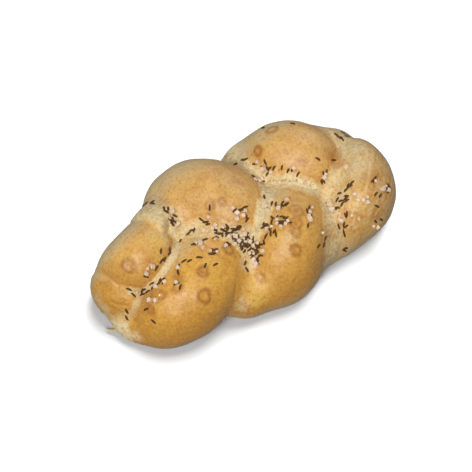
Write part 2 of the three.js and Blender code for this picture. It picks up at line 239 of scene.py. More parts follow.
# The crust's relief. The skin is lumpy, drawn into fine streaks along each rope and into
# folds where a rope comes out from under another. The dough between two ropes has baked
# into a soft bead between two creases, with a row of burst pores at one place. A blister,
# or a grain of salt that has run, leaves a ring: its place in the plait and its radius, in
# mm, and how brown its rim and its core are.
RINGS = [
    dict(at=(-71.3, 4.7, 42.4), radius=3.1, dark=0.85, core=0.3),
    dict(at=(-46.9, -29.9, 35.9), radius=3.3, dark=1.0, core=0.35),
    dict(at=(-40.7, -20.1, 41.2), radius=2.5, dark=0.95, core=0.8),
    dict(at=(-55.7, -19.6, 38.4), radius=2.5, dark=0.85, core=0.3),
    dict(at=(-64.5, -17.5, 34.6), radius=1.8, dark=0.8, core=0.0),
    dict(at=(-72.1, -18.1, 28.9), radius=2.1, dark=0.9, core=0.7),
    dict(at=(-70.7, -15.4, 30.3), radius=1.4, dark=0.8, core=0.1),
    dict(at=(-21.5, -14.4, 38.6), radius=2.5, dark=0.9, core=0.4),
    dict(at=(7.9, -35.7, 39.6), radius=2.7, dark=1.0, core=0.2),
    dict(at=(-12.3, -33.3, 27.4), radius=2.4, dark=0.6, core=0.1),
    dict(at=(20.6, -18.5, 44.9), radius=3.2, dark=0.8, core=0.8),
    dict(at=(15.8, -24.4, 44.6), radius=2.9, dark=0.85, core=0.7),
    dict(at=(13.4, -28.3, 43.6), radius=2.2, dark=0.7, core=0.5),
    dict(at=(26.3, 27.1, 40.5), radius=2.4, dark=0.95, core=0.3),
    dict(at=(39.2, 32.4, 44.7), radius=2.7, dark=0.75, core=0.2),
    dict(at=(-17.0, 9.1, 46.6), radius=2.2, dark=0.7, core=0.1),
    dict(at=(-11.0, 6.8, 48.3), radius=1.5, dark=0.75, core=0.1),
]
RIM_WIDTH = 1.4  # mm, half the width of a ring's brown rim
RIM_RISE = 0.3  # mm that a blister's rim stands up
CORE_FULL, CORE_SINK = 0.3, 0.5  # shares of a ring's radius and of its rim's rise
LUMPS = dict(size=26.0, rise=0.6)
DENTS = dict(size=9.0, rise=0.22)
STREAK_LONG, STREAK_WIDE, STREAK_RISE = 16.0, 1.7, 0.1  # mm
STREAK_SHARES, STREAK_ELSE = {id(RIGHT_END): 1.0, id(LAST_FOLD): 0.8}, 0.1
RAGGED, WOBBLE = 0.3, 0.3  # how uneven the borders and the rings are
RAGGED_SIZE, ROUGH_SIZE, WOBBLE_SIZE = 5.0, 1.6, 4.0  # mm, the lumps of their unevenness
TORN_FULL, TORN_END = 0.5, 0.95  # shares of a seam's width
BEAD_RISE, CRUMB_RISE = 0.5, 0.4  # mm
CREASE_AT = 1.05  # share of a seam's width
CREASE_WIDE, CREASE_DEEP = 1.0, 0.35  # mm, the creases on both sides of the bead
CREASE_EVEN, CREASE_ROUGH = 0.55, 0.45
PORES_AT, PORES_TO, PORES = (24.7, 11.1, 31.8), (34.6, 1.2, 36.4), 9
PORE_RADIUS, PORE_DEPTH, PORE_DARK, PORE_FULL = 0.8, 0.5, 0.6, 0.2
FOLDS = [
    dict(at=(-30.4, -37.2, 21.1), to=(-26.4, -41.9, 13.4), rise=0.7),
    dict(at=(-28.7, -36.6, 22.4), to=(-24.8, -42.4, 14.3), rise=-0.6),
    dict(at=(-21.0, -36.7, 23.1), to=(-16.4, -42.5, 18.7), rise=-0.5),
    dict(at=(-86.9, -1.0, 23.5), to=(-80.7, -7.3, 23.6), rise=-0.5),
    dict(at=(-89.0, 0.2, 20.3), to=(-86.0, -5.1, 19.7), rise=-0.4),
    dict(at=(-83.2, 15.4, 31.8), to=(-80.2, 2.6, 31.8), rise=-0.6),
    dict(at=(-30.5, -35.5, 24.9), to=(-26.5, -30.4, 31.1), rise=-0.4),
    dict(at=(-29.0, 17.2, 40.8), to=(-20.8, 10.6, 44.7), rise=-0.2),
]
FOLD_WIDE, FOLD_REACH = 0.9, 4  # mm across the crust and through it
# How much painted shade darkens the groove of a fold, by its depth.
FOLD_BROWN = 0.7
WHOLE_FROM = 6.0  # mm over the table, lower down the relief fades
NOISE_SHIFT = (17.3, 5.1, 9.7)  # how far one seed's noise lies from the next one's
NOISE_FADE, NOISE_FINER = 1.0, 2.0  # how much weaker and finer each octave of it is
SWELL_APART = 40  # mm between one swell's streaks and the next one's, in the noise


def cloud(places, seed, octaves=1):
    """Soft noise between -1 and 1 at each place, with lumps about 1 across."""
    shift = Vector([seed * part for part in NOISE_SHIFT])
    layers = (NOISE_FADE, NOISE_FINER, octaves)
    return np.array([noise.fractal(Vector(place) + shift, *layers) for place in places])


def plait(place):
    return np.array(place, float) + BOX_MIDDLE


def reach_from(place):
    """How far each spot of the crust is from the spot nearest to a place."""
    reach = np.linalg.norm(spots - plait(place), axis=1)
    return np.linalg.norm(spots - spots[reach.argmin()], axis=1)


def along_rope():
    """Each spot's place along, across and over the swell that it belongs to, in mm."""
    swells = [swell for rope in ROPES for swell in rope]
    nearest = np.argmin([outside_swell(swell, spots) for swell in swells], axis=0)
    places = np.zeros_like(spots)
    for number, swell in enumerate(swells):
        own = nearest == number
        places[own] = (spots[own] - plait(swell["at"])) @ np.stack(axes_of(swell), axis=1)
        places[own] += SWELL_APART * number
    return places, nearest, swells


rope_reach = np.stack([outside_rope(rope, spots) for rope in ROPES])
by_nearness = np.sort(rope_reach, axis=0)
between = by_nearness[1] - by_nearness[0]
ragged = cloud(spots / RAGGED_SIZE, 1, 3)
rough = cloud(spots / ROUGH_SIZE, 3, 2)
rope_places, nearest, swells = along_rope()
streaked = [STREAK_SHARES.get(id(swell), STREAK_ELSE) for swell in swells]
streak = cloud(rope_places / (STREAK_LONG, STREAK_WIDE, STREAK_WIDE), 6, 2)
streak *= np.array(streaked)[nearest]
seam_wide, seam_pale = seam_value(spots, "wide"), seam_value(spots, "pale")
in_seam = between / seam_wide + RAGGED * ragged
torn = (1 - smooth_step(TORN_FULL, TORN_END, in_seam)) * seam_pale
crease = np.exp(-(((in_seam - CREASE_AT) * seam_wide / CREASE_WIDE) ** 2))
crease = crease * (CREASE_EVEN + CREASE_ROUGH * rough) * seam_pale
# The greyish painted shade in each seam's torn band.
dim = torn * seam_value(spots, "dim")
relief = LUMPS["rise"] * cloud(spots / LUMPS["size"], 2, 2)
relief += DENTS["rise"] * cloud(spots / DENTS["size"], 7, 2) + STREAK_RISE * streak
relief += torn * (BEAD_RISE + CRUMB_RISE * rough) - CREASE_DEEP * crease
for fold in FOLDS:
    start, line = plait(fold["at"]), np.subtract(fold["to"], fold["at"])
    along = np.clip((spots - start) @ line / (line @ line), 0, 1)
    away = spots - start - along[:, None] * line
    over = (away * outward).sum(axis=1)
    aside = np.linalg.norm(away - over[:, None] * outward, axis=1) * (1 + RAGGED * ragged)
    folded = np.exp(-((aside / FOLD_WIDE) ** 2)) * (np.abs(over) < FOLD_REACH)
    relief += fold["rise"] * folded
    crease = np.maximum(crease, -FOLD_BROWN * fold["rise"] * folded)
brown = np.zeros(len(spots))
wobble = 1 + WOBBLE * cloud(spots / WOBBLE_SIZE, 4)
for ring in RINGS:
    out = reach_from(ring["at"]) * wobble
    rim = np.exp(-(((out - ring["radius"]) / RIM_WIDTH) ** 2))
    core = 1 - smooth_step(CORE_FULL, 1.0, out / ring["radius"])
    brown = np.maximum(brown, np.maximum(ring["dark"] * rim, ring["core"] * core))
    relief += RIM_RISE * (rim - CORE_SINK * core)
pored = np.zeros(len(spots))
for along in np.linspace(0, 1, PORES):
    place = (1 - along) * np.array(PORES_AT) + along * np.array(PORES_TO)
    pore = 1 - smooth_step(PORE_FULL, 1.0, reach_from(place) / PORE_RADIUS)
    relief -= PORE_DEPTH * pore
    pored = np.maximum(pored, pore)
whole = smooth_step(0.0, WHOLE_FROM, spots[:, 2])
spots = spots + outward * (relief * whole)[:, None]
spots[:, 2] = np.maximum(spots[:, 2], 0)
crust.data.vertices.foreach_set("co", (spots * MM).ravel())
crust.data.update()
bpy.ops.object.shade_smooth()


# The sprinkling. Each pinch of seeds and salt fell along a line on the crust, seen from
# above, and spread to both sides of it. The seeds of some pinches lie about one way, in
# degrees from +X. The grains stick to the egg wash where they fell.
PINCHES = [
    dict(at=(-44, 38), to=(-38, 31), spread=1.5, seeds=4, salts=0),
    dict(at=(-37, 22), to=(-36, 14), spread=2.6, lie=-85, seeds=8, salts=3),
    dict(at=(-37, 6), to=(-28, 7), spread=1.4, lie=10, seeds=4, salts=0),
    dict(at=(-27, 4), to=(-19, 7), spread=2.6, seeds=5, salts=2),
    dict(at=(-47, 3), to=(-58, -2), spread=2.6, lie=25, seeds=6, salts=0),
    dict(at=(-61, -3), to=(-67, -3), spread=1.5, lie=-10, seeds=1, salts=3),
    dict(at=(-76, 0), to=(-74, -3), spread=0.3, lie=-75, seeds=2, salts=0),
    dict(at=(-73, -6), to=(-58, -12), spread=1.7, lie=10, seeds=10, salts=4),
    dict(at=(-81, -7), to=(-83, -9), spread=0.3, lie=45, seeds=2, salts=0),
    dict(at=(-74, -14), to=(-74, -24), spread=0.3, lie=-45, seeds=2, salts=0),
    dict(at=(-71, -14), to=(-64, -18), spread=1.5, seeds=0, salts=3),
    dict(at=(-57, -17), to=(-54, -19), spread=1.5, lie=20, seeds=2, salts=2),
    dict(at=(-48, -7), to=(-52, -14), spread=0.3, lie=50, seeds=2, salts=1),
    dict(at=(-46, -10), to=(-38, -12), spread=1.5, lie=-10, seeds=3, salts=0),
    dict(at=(-40, -17), to=(-32, -20), spread=0.3, lie=15, seeds=2, salts=0),
    dict(at=(-34, -1), to=(-33, -9), spread=2.5, seeds=2, salts=3),
    dict(at=(-32, -12), to=(-27, -12), spread=2.5, lie=-35, seeds=4, salts=2),
    dict(at=(-27, -5), to=(-19, -2), spread=2.8, seeds=4, salts=3),
    dict(at=(-22, -10), to=(-20, -13), spread=1.5, lie=-75, seeds=2, salts=1),
    dict(at=(-20, -3), to=(-12, -10), spread=3.2, seeds=20, salts=5),
    dict(at=(-12, -10), to=(-8, -22), spread=4.8, seeds=46, salts=14),
    dict(at=(-9, -22), to=(-12, -28), spread=2.2, seeds=6, salts=6),
    dict(at=(-15, -20), to=(-18, -29), spread=1, lie=-105, seeds=2, salts=0),
    dict(at=(-11, 0), to=(2, -4), spread=2.5, lie=0, seeds=4, salts=0),
    dict(at=(-8, -1), to=(-3, -6), spread=3, seeds=0, salts=5),
    dict(at=(-10, -6), to=(0, -8), spread=2, lie=30, seeds=3, salts=0),
    dict(at=(15, 16), to=(20, 14), spread=1.8, lie=-80, seeds=5, salts=4),
    dict(at=(16, 6), to=(1, -17), spread=2, seeds=2, salts=6),
    dict(at=(14, 35), to=(21, 30), spread=0.8, lie=-35, seeds=3, salts=0),
    dict(at=(21, 23), to=(24, 24), spread=1.2, lie=-30, seeds=2, salts=1),
    dict(at=(24, 20), to=(24, 16), spread=2, lie=50, seeds=4, salts=3),
    dict(at=(25, 15), to=(33, 7), spread=2.2, lie=40, seeds=4, salts=1),
    dict(at=(35, 8), to=(36, 2), spread=1.5, lie=30, seeds=2, salts=1),
    dict(at=(35, 41), to=(55, 26), spread=0.3, lie=-55, seeds=2, salts=0),
    dict(at=(45, 4), to=(59, -1), spread=0.3, lie=-30, seeds=2, salts=0),
    dict(at=(50, -3), to=(46, -8), spread=1.2, lie=50, seeds=4, salts=2),
    dict(at=(12, -8), to=(20, -11), spread=4, lie=40, seeds=6, salts=2),
    dict(at=(4, -17), to=(12, -20), spread=4.5, seeds=20, salts=8),
    dict(at=(-3, -21), to=(6, -23), spread=2, lie=30, seeds=5, salts=0),
    dict(at=(29, -18), to=(22, -27), spread=1.8, lie=50, seeds=5, salts=5),
    dict(at=(30, -32), to=(20, -39), spread=0.8, lie=45, seeds=3, salts=1),
    dict(at=(44, -15), to=(42, -24), spread=1, lie=-80, seeds=2, salts=4),
    dict(at=(53, -19), to=(57, -20), spread=1.8, lie=20, seeds=4, salts=0),
    dict(at=(50, -19), to=(52, -26), spread=1.8, lie=-20, seeds=5, salts=0),
    dict(at=(47, -20), to=(46, -26), spread=2, lie=-15, seeds=4, salts=0),
    dict(at=(47, -28), to=(38, -34), spread=2, lie=50, seeds=4, salts=0),
    dict(at=(43, -32), to=(41, -37), spread=1.8, lie=40, seeds=3, salts=0),
    dict(at=(38, -37), to=(40, -41), spread=0.8, lie=-55, seeds=2, salts=0),
    dict(at=(40, -29), to=(50, -34), spread=2, seeds=0, salts=4),
    dict(at=(54, -24), to=(61, -34), spread=2.2, seeds=0, salts=5),
    dict(at=(56, -38), to=(62, -36), spread=1.5, seeds=0, salts=2),
    dict(at=(65, -4), to=(60, -14), spread=2, seeds=0, salts=2),
    dict(at=(68, -23), to=(68, -26), spread=1.6, lie=40, seeds=3, salts=1),
    dict(at=(62, -29), to=(69, -32), spread=1, lie=30, seeds=2, salts=0),
    dict(at=(72, -29), to=(75, -30), spread=2, seeds=4, salts=3),
    dict(at=(64, -34), to=(61, -40), spread=1.8, lie=-55, seeds=3, salts=0),
    dict(at=(70, 15), to=(73, 9), spread=0.8, lie=-80, seeds=3, salts=0),
]
SUNK = 0.3  # share of its thickness that a grain sits in the crust
TILT = 0.35  # how far a grain's lie may lean from the crust, in radians
SWAY = 80  # how far apart the seeds of one lie may point, in degrees
STEEP = 0.5  # a grain slides on while the crust's normal points up by less
SLIDE = 1.5  # mm of one slide downhill
SLIDES = 5
DROP = 100.0  # mm over the table
DICE_TURN, DICE_STEP, DICE_REACH = 12.9898, 78.233, 43758.5453
DICE_OF_PINCH = 100
skin = BVHTree.FromPolygons(spots.tolist(), [p.vertices[:] for p in crust.data.polygons])


def dice(number):
    """Draws between 0 and 1, always the same ones for the same number."""
    draws = 0
    while True:
        draws += 1
        wave = DICE_REACH * math.sin(DICE_TURN * number + DICE_STEP * draws)
        yield wave - math.floor(wave)


def landing(x, y):
    """Where a grain that falls at x, y comes to lie, and the crust's direction there."""
    point, normal, face, drop = skin.ray_cast(Vector((x, y, DROP)), Vector((0, 0, -1)))
    for slide in range(SLIDES):
        if point is None or normal.z >= STEEP:
            break
        downhill = Vector((normal.x, normal.y, 0)).normalized() * SLIDE
        over = Vector((point.x + downhill.x, point.y + downhill.y, DROP))
        found = skin.ray_cast(over, Vector((0, 0, -1)))
        if found[0] is not None:
            point, normal = found[0], found[1]
    return point, normal


def strewn(kind, first_dice, shortest, longest):
    """Every grain of a kind: where it lies, how it is turned, its size and its dice."""
    grains = []
    for number, pinch in enumerate(PINCHES):
        for count in range(pinch[kind]):
            roll = dice(first_dice + DICE_OF_PINCH * number + count)
            along = (count + next(roll)) / pinch[kind]
            reach = pinch["spread"] * math.sqrt(next(roll))
            around = 2 * math.pi * next(roll)
            start, end = Vector(pinch["at"]), Vector(pinch["to"])
            spot = start.lerp(end, along) + reach * Vector((math.cos(around), math.sin(around)))
            lean = (TILT * (next(roll) - 0.5), TILT * (next(roll) - 0.5))
            swing = next(roll)
            points = pinch["lie"] + SWAY * (swing - 0.5) if "lie" in pinch else 360 * swing
            size = shortest + (longest - shortest) * next(roll)
            point, normal = landing(spot.x + BOX_MIDDLE[0], spot.y + BOX_MIDDLE[1])
            if point is None:
                continue
            lie = Vector((0, 0, 1)).rotation_difference(normal).to_matrix()
            lie = lie @ Euler((*lean, math.radians(points - 90))).to_matrix()
            grains.append(dict(point=point, normal=normal, lie=lie, size=size, roll=roll))
    return grains


strewn_seeds = strewn("seeds", first_dice=1, shortest=3.3, longest=4.0)
strewn_salts = strewn("salts", first_dice=9001, shortest=1.5, longest=2.8)


# The crust's colours. It is golden where the oven's heat reached it, deep ochre low down,
# partly as painted shade on the steep sides, and paler behind, where it baked less and is
# partly painted shade in dim cool light, and where it turns under to the table, partly as
# painted light bounced up from the table. By the seams the skin was stretched to a pale
# yellow, and in them it has torn to the cream crumb, partly greyed by painted shade. Blots
# are egg wash that browned, some are painted shade, and a salt grain has a thin brown halo.
# The tail and the turns that came up last are left pale. Some pale patches and all the
# bright patches are painted light.
# Dark blots: browned egg wash, and on some right rims and valley sides painted shade.
BLOTS = [
    dict(at=(-61.3, -0.5, 43.1), reach=7.0, dark=0.4),
    dict(at=(41.0, 5.4, 44.4), reach=4.4, dark=0.65),
    dict(at=(61.8, 2.9, 39.3), reach=6.0, dark=0.7),
    dict(at=(1.6, 13.5, 48.9), reach=6.0, dark=0.35),
    dict(at=(61.1, -37.3, 29.9), reach=7.0, dark=0.5),
    dict(at=(73.9, -29.5, 35.4), reach=5.0, dark=0.5),
    dict(at=(25.2, -12.2, 43.4), reach=6.0, dark=0.5),
    dict(at=(-85.1, 8.7, 28.2), reach=7.0, dark=0.35),
    dict(at=(-27.0, -20.5, 39.0), reach=6.0, dark=0.3),
    dict(at=(-72.2, -11.5, 28.6), reach=11.0, dark=0.55),
    dict(at=(-78.9, -13.4, 21.2), reach=8.0, dark=0.45),
    dict(at=(59.0, 0.0, 39.5), reach=9.0, dark=0.85),
    dict(at=(68.9, -24.4, 41.4), reach=14.0, dark=0.6),
    dict(at=(32.9, -33.6, 28.8), reach=8.0, dark=0.45),
    dict(at=(-56.2, -31.4, 32.4), reach=12.0, dark=0.25),
    dict(at=(-83.8, -2.4, 26.1), reach=8.0, dark=0.3),
    dict(at=(7.9, -35.7, 39.6), reach=7.0, dark=0.5),
    dict(at=(15.8, -24.4, 44.6), reach=6.5, dark=0.55),
    dict(at=(-18.9, 1.8, 41.5), reach=7.5, dark=0.55),
    dict(at=(-36.6, 26.5, 41.1), reach=8.0, dark=0.3),
    dict(at=(-67.0, -13.5, 33.0), reach=9.0, dark=0.5),
    dict(at=(-69.1, -13.9, 31.5), reach=7.0, dark=0.8),
    dict(at=(-53.1, -15.1, 39.6), reach=6.5, dark=0.7),
    dict(at=(69.3, -25.7, 40.7), reach=9.0, dark=0.45),
    dict(at=(58.8, -0.7, 39.5), reach=6.0, dark=0.6),
    dict(at=(-44.9, 4.2, 38.1), reach=4.0, dark=0.35),
]
# Pale patches. Most are paler crust. Those round (19, 40), on a side turned from the lamp, are
# partly painted light, and the three low at the left end, round (-84, -20) and (-91, 1 to 7), are
# painted light bounced up from the table.
PALE_PATCHES = [
    dict(at=(69.5, -1.9, 40.1), reach=11.0, share=0.55),
    dict(at=(61.3, -8.7, 39.7), reach=9.0, share=0.5),
    dict(at=(21.3, 38.5, 28.9), reach=13.0, share=0.8),
    dict(at=(-47.8, 8.2, 42.9), reach=8.0, share=0.8),
    dict(at=(-13.1, -23.7, 29.4), reach=9.0, share=0.75),
    dict(at=(51.1, -21.4, 37.6), reach=8.0, share=0.7),
    dict(at=(73.3, -1.4, 40.3), reach=10.0, share=0.75, grey=0.4),
    dict(at=(-28.5, -2.0, 39.0), reach=7.0, share=0.55),
    dict(at=(10.5, -29.0, 43.0), reach=7.0, share=0.5),
    dict(at=(18.9, 37.8, 26.6), reach=11.0, share=0.9),
    dict(at=(17.3, 43.9, 22.1), reach=10.0, share=0.9),
    dict(at=(-51.6, 29.3, 38.3), reach=8.0, share=0.9),
    dict(at=(-83.6, -19.6, 9.9), reach=6.0, share=0.7),
    dict(at=(-27.2, -39.1, 18.9), reach=7.0, share=0.6, grey=0.2),
    dict(at=(-90.6, 1.4, 16.3), reach=6.0, share=0.6),
    dict(at=(-91.3, 7.2, 18.2), reach=7.0, share=0.5),
    dict(at=(65.6, -13.5, 42.5), reach=11.0, share=0.75, grey=0.35),
]
# Bright patches of painted light: the crust is painted brighter where more light should fall on
# it.
BRIGHT_PATCHES = [
    dict(at=(-51.2, 7.6, 44.8), reach=9.0, share=0.9),
    dict(at=(-56.3, -0.5, 42.6), reach=6.0, share=0.6),
    dict(at=(-19.3, 2.1, 41.4), reach=9.0, share=0.7),
    dict(at=(-15.8, -35.7, 24.7), reach=11.0, share=0.8),
    dict(at=(-14.0, -33.0, 27.5), reach=7.0, share=0.8),
    dict(at=(-19.0, -40.5, 20.5), reach=9.0, share=0.8),
    dict(at=(28.0, 38.3, 35.9), reach=9.0, share=0.5),
    dict(at=(54.3, -28.0, 38.5), reach=9.0, share=0.6),
    dict(at=(60.5, -39.6, 20.7), reach=10.0, share=0.7),
]
BURNT = [dict(at=(76.4, 16.0, 31.0), reach=3.0), dict(at=(77.2, 12.6, 31.0), reach=3.2)]
PATCH_FULL, BURNT_FULL, BURNT_DARK = 0.1, 0.3, 0.9  # the first two are shares of a reach
PALE_SWELLS = [(INTO_RIGHT_BACK, 1.0), (INTO_MIDDLE_BACK, 0.8), (LAST_FOLD, 0.45)]
TAIL_INSET = 0.8  # mm by which the pale tail's border lies within the tail
HONEY_SWELLS = [(LOWER_LEFT, 0.9), (MIDDLE_FRONT, 0.55), (LEFT_FOLD, 1.0), (LEFT_END, 0.35)]
HONEY_SWELLS += [(INTO_MIDDLE_FRONT, 0.7)]
KHAKI_SWELLS = [(RIGHT_END, 0.3), (RIGHT_BACK, 0.15), (MIDDLE_BACK, 0.12), (INTO_RIGHT_END, 0.6)]
PALE_BLUR, TONE_BLUR, BLUR_RAGGED = 2.0, 5.0, 0.6  # the first two in mm
STRETCH_LEAST, STRETCH_SHARE = 2.0, 1.4  # the stretched band's width, from the seam's
STRETCH_RAGGED = 2.5  # mm
STRETCH_EVEN, STRETCH_TORN = 0.3, 0.7
HALO_RADIUS, HALO_WIDE, HALO_DARK = 1.9, 0.6, 0.45
HALO_CLEAR = (2.0, 6.0)  # mm from a seam over which the halos come in
# The side facing back and left is painted a paler khaki. Partly it baked less, and partly it is
# painted shade in dim cool light, away from the lamp.
BEHIND = (-0.25, 0.95, 0.15)  # the side that baked less
BEHIND_FACING = (0.15, 0.85)
# Each pair bounds the upward part of the crust's direction over which a tone comes in.
BEHIND_UPWARD, BEHIND_LOW, BEHIND_HIGH = (-0.1, 0.35), 0.35, 0.65
LOW_UPWARD = (0.2, 0.97)
UNDER_UPWARD, UNDER_SHARE = (-0.4, 0.3), 0.6


def patch_share(patch, full=PATCH_FULL):
    """1 in a patch and 0 outside it, with a ragged border."""
    return 1 - smooth_step(full, 1.0, reach_from(patch["at"]) / patch["reach"] + RAGGED * ragged)


for blot in BLOTS:
    out = reach_from(blot["at"]) * (wobble + RAGGED * ragged) / blot["reach"]
    brown = np.maximum(brown, blot["dark"] * (1 - smooth_step(PATCH_FULL, 1.0, out)))
for salt in strewn_salts:
    out = np.linalg.norm(spots - np.array(salt["point"]), axis=1) * wobble
    halo = np.exp(-(((out - HALO_RADIUS) / HALO_WIDE) ** 2))
    brown = np.maximum(brown, HALO_DARK * halo * smooth_step(*HALO_CLEAR, between))
# The pores' dark pits are painted shade; the burnt spots are scorched crust.
burnt = PORE_DARK * pored
for patch in BURNT:
    burnt = np.maximum(burnt, BURNT_DARK * patch_share(patch, BURNT_FULL))
reaches = np.stack([outside_swell(swell, spots) for swell in swells])


def on_swell(swell, blur, inset=0.0):
    """1 where a spot is on the swell and 0 on the others, with a soft border in between."""
    own = [other is swell for other in swells].index(True)
    others = np.delete(reaches, own, axis=0).min(axis=0)
    over = reaches[own] + inset - others + BLUR_RAGGED * blur * ragged
    return 1 - smooth_step(-blur, blur, over)


def most_of(shares):
    """The largest of the shares at each spot."""
    return np.max(list(shares), axis=0)


pale = on_swell(TAIL, PALE_BLUR, TAIL_INSET)
pale = np.maximum(pale, most_of(part * on_swell(swell, PALE_BLUR) for swell, part in PALE_SWELLS))
pale = np.maximum(pale, most_of(patch["share"] * patch_share(patch) for patch in PALE_PATCHES))
# Some pale patches near the seams are greyed with painted shade as well.
for patch in PALE_PATCHES:
    if "grey" in patch:
        dim = np.maximum(dim, patch["grey"] * patch_share(patch))
honey = most_of(part * on_swell(swell, TONE_BLUR) for swell, part in HONEY_SWELLS)
khaki = most_of(part * on_swell(swell, TONE_BLUR) for swell, part in KHAKI_SWELLS)
# Painted light from the bright patches.
sunny = most_of(patch["share"] * patch_share(patch) for patch in BRIGHT_PATCHES)
stretch_wide = STRETCH_LEAST + STRETCH_SHARE * seam_wide
stretched = 1 - smooth_step(0.0, 1.0, (between + STRETCH_RAGGED * ragged) / stretch_wide)
stretched *= STRETCH_EVEN + STRETCH_TORN * seam_pale
upward = outward[:, 2]
behind = smooth_step(*BEHIND_FACING, outward @ BEHIND)
behind *= BEHIND_LOW + BEHIND_HIGH * smooth_step(*BEHIND_UPWARD, upward)
behind = np.maximum(behind, khaki)
# Deeper ochre on the sides, the steeper the more. This is partly deeper crust colour and partly
# painted shade.
low_side = (1 - smooth_step(*LOW_UPWARD, upward)) * (1 - behind)
# Paler yellow where the crust turns under to the table, except on the lower left swell. This is
# partly less baked crust and partly painted light bounced up from the table.
under = 1 - smooth_step(*UNDER_UPWARD, upward)
under *= UNDER_SHARE * (1 - on_swell(LOWER_LEFT, TONE_BLUR))
marks = dict(torn=torn, dim=dim, stretched=stretched, pale=pale, crease=crease, brown=brown)
marks.update(burnt=burnt, honey=honey, sunny=sunny, behind=behind, low_side=low_side)
marks.update(under=under, streak=0.5 + 0.5 * streak)
for name, values in marks.items():
    layer = crust.data.attributes.new(name, "FLOAT", "POINT")
    layer.data.foreach_set("value", np.clip(values, 0, 1).astype(np.float32))

GOLDEN = (0.75, 0.41, 0.115, 1)
PEACH = (0.82, 0.46, 0.145, 1)
OCHRE = (0.64, 0.295, 0.04, 1)
YELLOW = (0.86, 0.58, 0.22, 1)
CREAM = (0.83, 0.63, 0.32, 1)
GREYISH = (0.50, 0.38, 0.19, 1)
KHAKI = (0.76, 0.58, 0.29, 1)
HONEY = (0.83, 0.42, 0.055, 1)
SUNNY = (0.90, 0.55, 0.12, 1)
BROWN = (0.46, 0.17, 0.02, 1)
FLOURY = (0.93, 0.78, 0.46, 1)
SCORCHED = (0.10, 0.042, 0.016, 1)
GLOSS, MATT = 0.4, 0.7  # the roughness of the glazed skin and of the torn crumb


def plain_material(name):
    """A new material of one surface, with its nodes and links."""
    material = bpy.data.materials.new(name)
    material.use_nodes = True
    nodes, links = material.node_tree.nodes, material.node_tree.links
    nodes.clear()
    output = nodes.new("ShaderNodeOutputMaterial")
    surface = nodes.new("ShaderNodeBsdfPrincipled")
    links.new(surface.outputs["BSDF"], output.inputs["Surface"])
    return material, nodes, links, surface


baked, nodes, links, surface = plain_material("baked_crust")
where = nodes.new("ShaderNodeTexCoord").outputs["Object"]


def noise_node(scale, detail, roughness=0.55, distortion=0.0):
    node = nodes.new("ShaderNodeTexNoise")
    node.inputs["Scale"].default_value = scale
    node.inputs["Detail"].default_value = detail
    node.inputs["Roughness"].default_value = roughness
    node.inputs["Distortion"].default_value = distortion
    links.new(where, node.inputs["Vector"])
    return node.outputs["Fac"]


def attribute_node(name):
    node = nodes.new("ShaderNodeAttribute")
    node.attribute_name = name
    return node.outputs["Fac"]


def mixed(share, first, second):
    node = nodes.new("ShaderNodeMix")
    node.data_type = "RGBA"
    shades = [socket for socket in node.inputs if socket.type == "RGBA"]
    for socket, value in zip(shades, (first, second)):
        if isinstance(value, tuple):
            socket.default_value = value
        else:
            links.new(value, socket)
    links.new(share, node.inputs[0])
    return next(socket for socket in node.outputs if socket.type == "RGBA")


def mapped(value, low, high, to_low=0.0, to_high=1.0):
    node = nodes.new("ShaderNodeMapRange")
    node.interpolation_type = "SMOOTHSTEP"
    node.inputs["From Min"].default_value = low
    node.inputs["From Max"].default_value = high
    node.inputs["To Min"].default_value = to_low
    node.inputs["To Max"].default_value = to_high
    links.new(value, node.inputs["Value"])
    return node.outputs["Result"]


def reckoned(kind, first, second):
    node = nodes.new("ShaderNodeMath")
    node.operation = kind
    links.new(first, node.inputs[0])
    links.new(second, node.inputs[1])
    return node.outputs["Value"]


def bump_node(height, distance, strength, under=None):
    node = nodes.new("ShaderNodeBump")
    node.inputs["Distance"].default_value = distance
    node.inputs["Strength"].default_value = strength
    links.new(height, node.inputs["Height"])
    if under:
        links.new(under, node.inputs["Normal"])
    return node.outputs["Normal"]


mottling = noise_node(scale=60, detail=4)
patches = noise_node(scale=170, detail=3)
wrinkles = noise_node(scale=330, detail=5, roughness=0.62, distortion=0.6)
crumbs = noise_node(scale=480, detail=3, roughness=0.5)
grain = noise_node(scale=620, detail=2, roughness=0.5)
pores = noise_node(scale=1100, detail=3, roughness=0.6)
specks = nodes.new("ShaderNodeTexVoronoi")
specks.inputs["Scale"].default_value = 380
links.new(where, specks.inputs["Vector"])
streaks = attribute_node("streak")
torn_open = attribute_node("torn")
crumb_share = reckoned("MAXIMUM", torn_open, attribute_node("pale"))
crumb = mixed(mapped(wrinkles, 0.42, 0.56), CREAM, FLOURY)
grey_share = reckoned("MULTIPLY", attribute_node("dim"), mapped(crumbs, 0.4, 0.62, 0.4, 1.0))
cracks = reckoned("MULTIPLY", torn_open, mapped(crumbs, 0.52, 0.66, 0.0, 0.6))
colour = mixed(mapped(mottling, 0.36, 0.64), GOLDEN, PEACH)
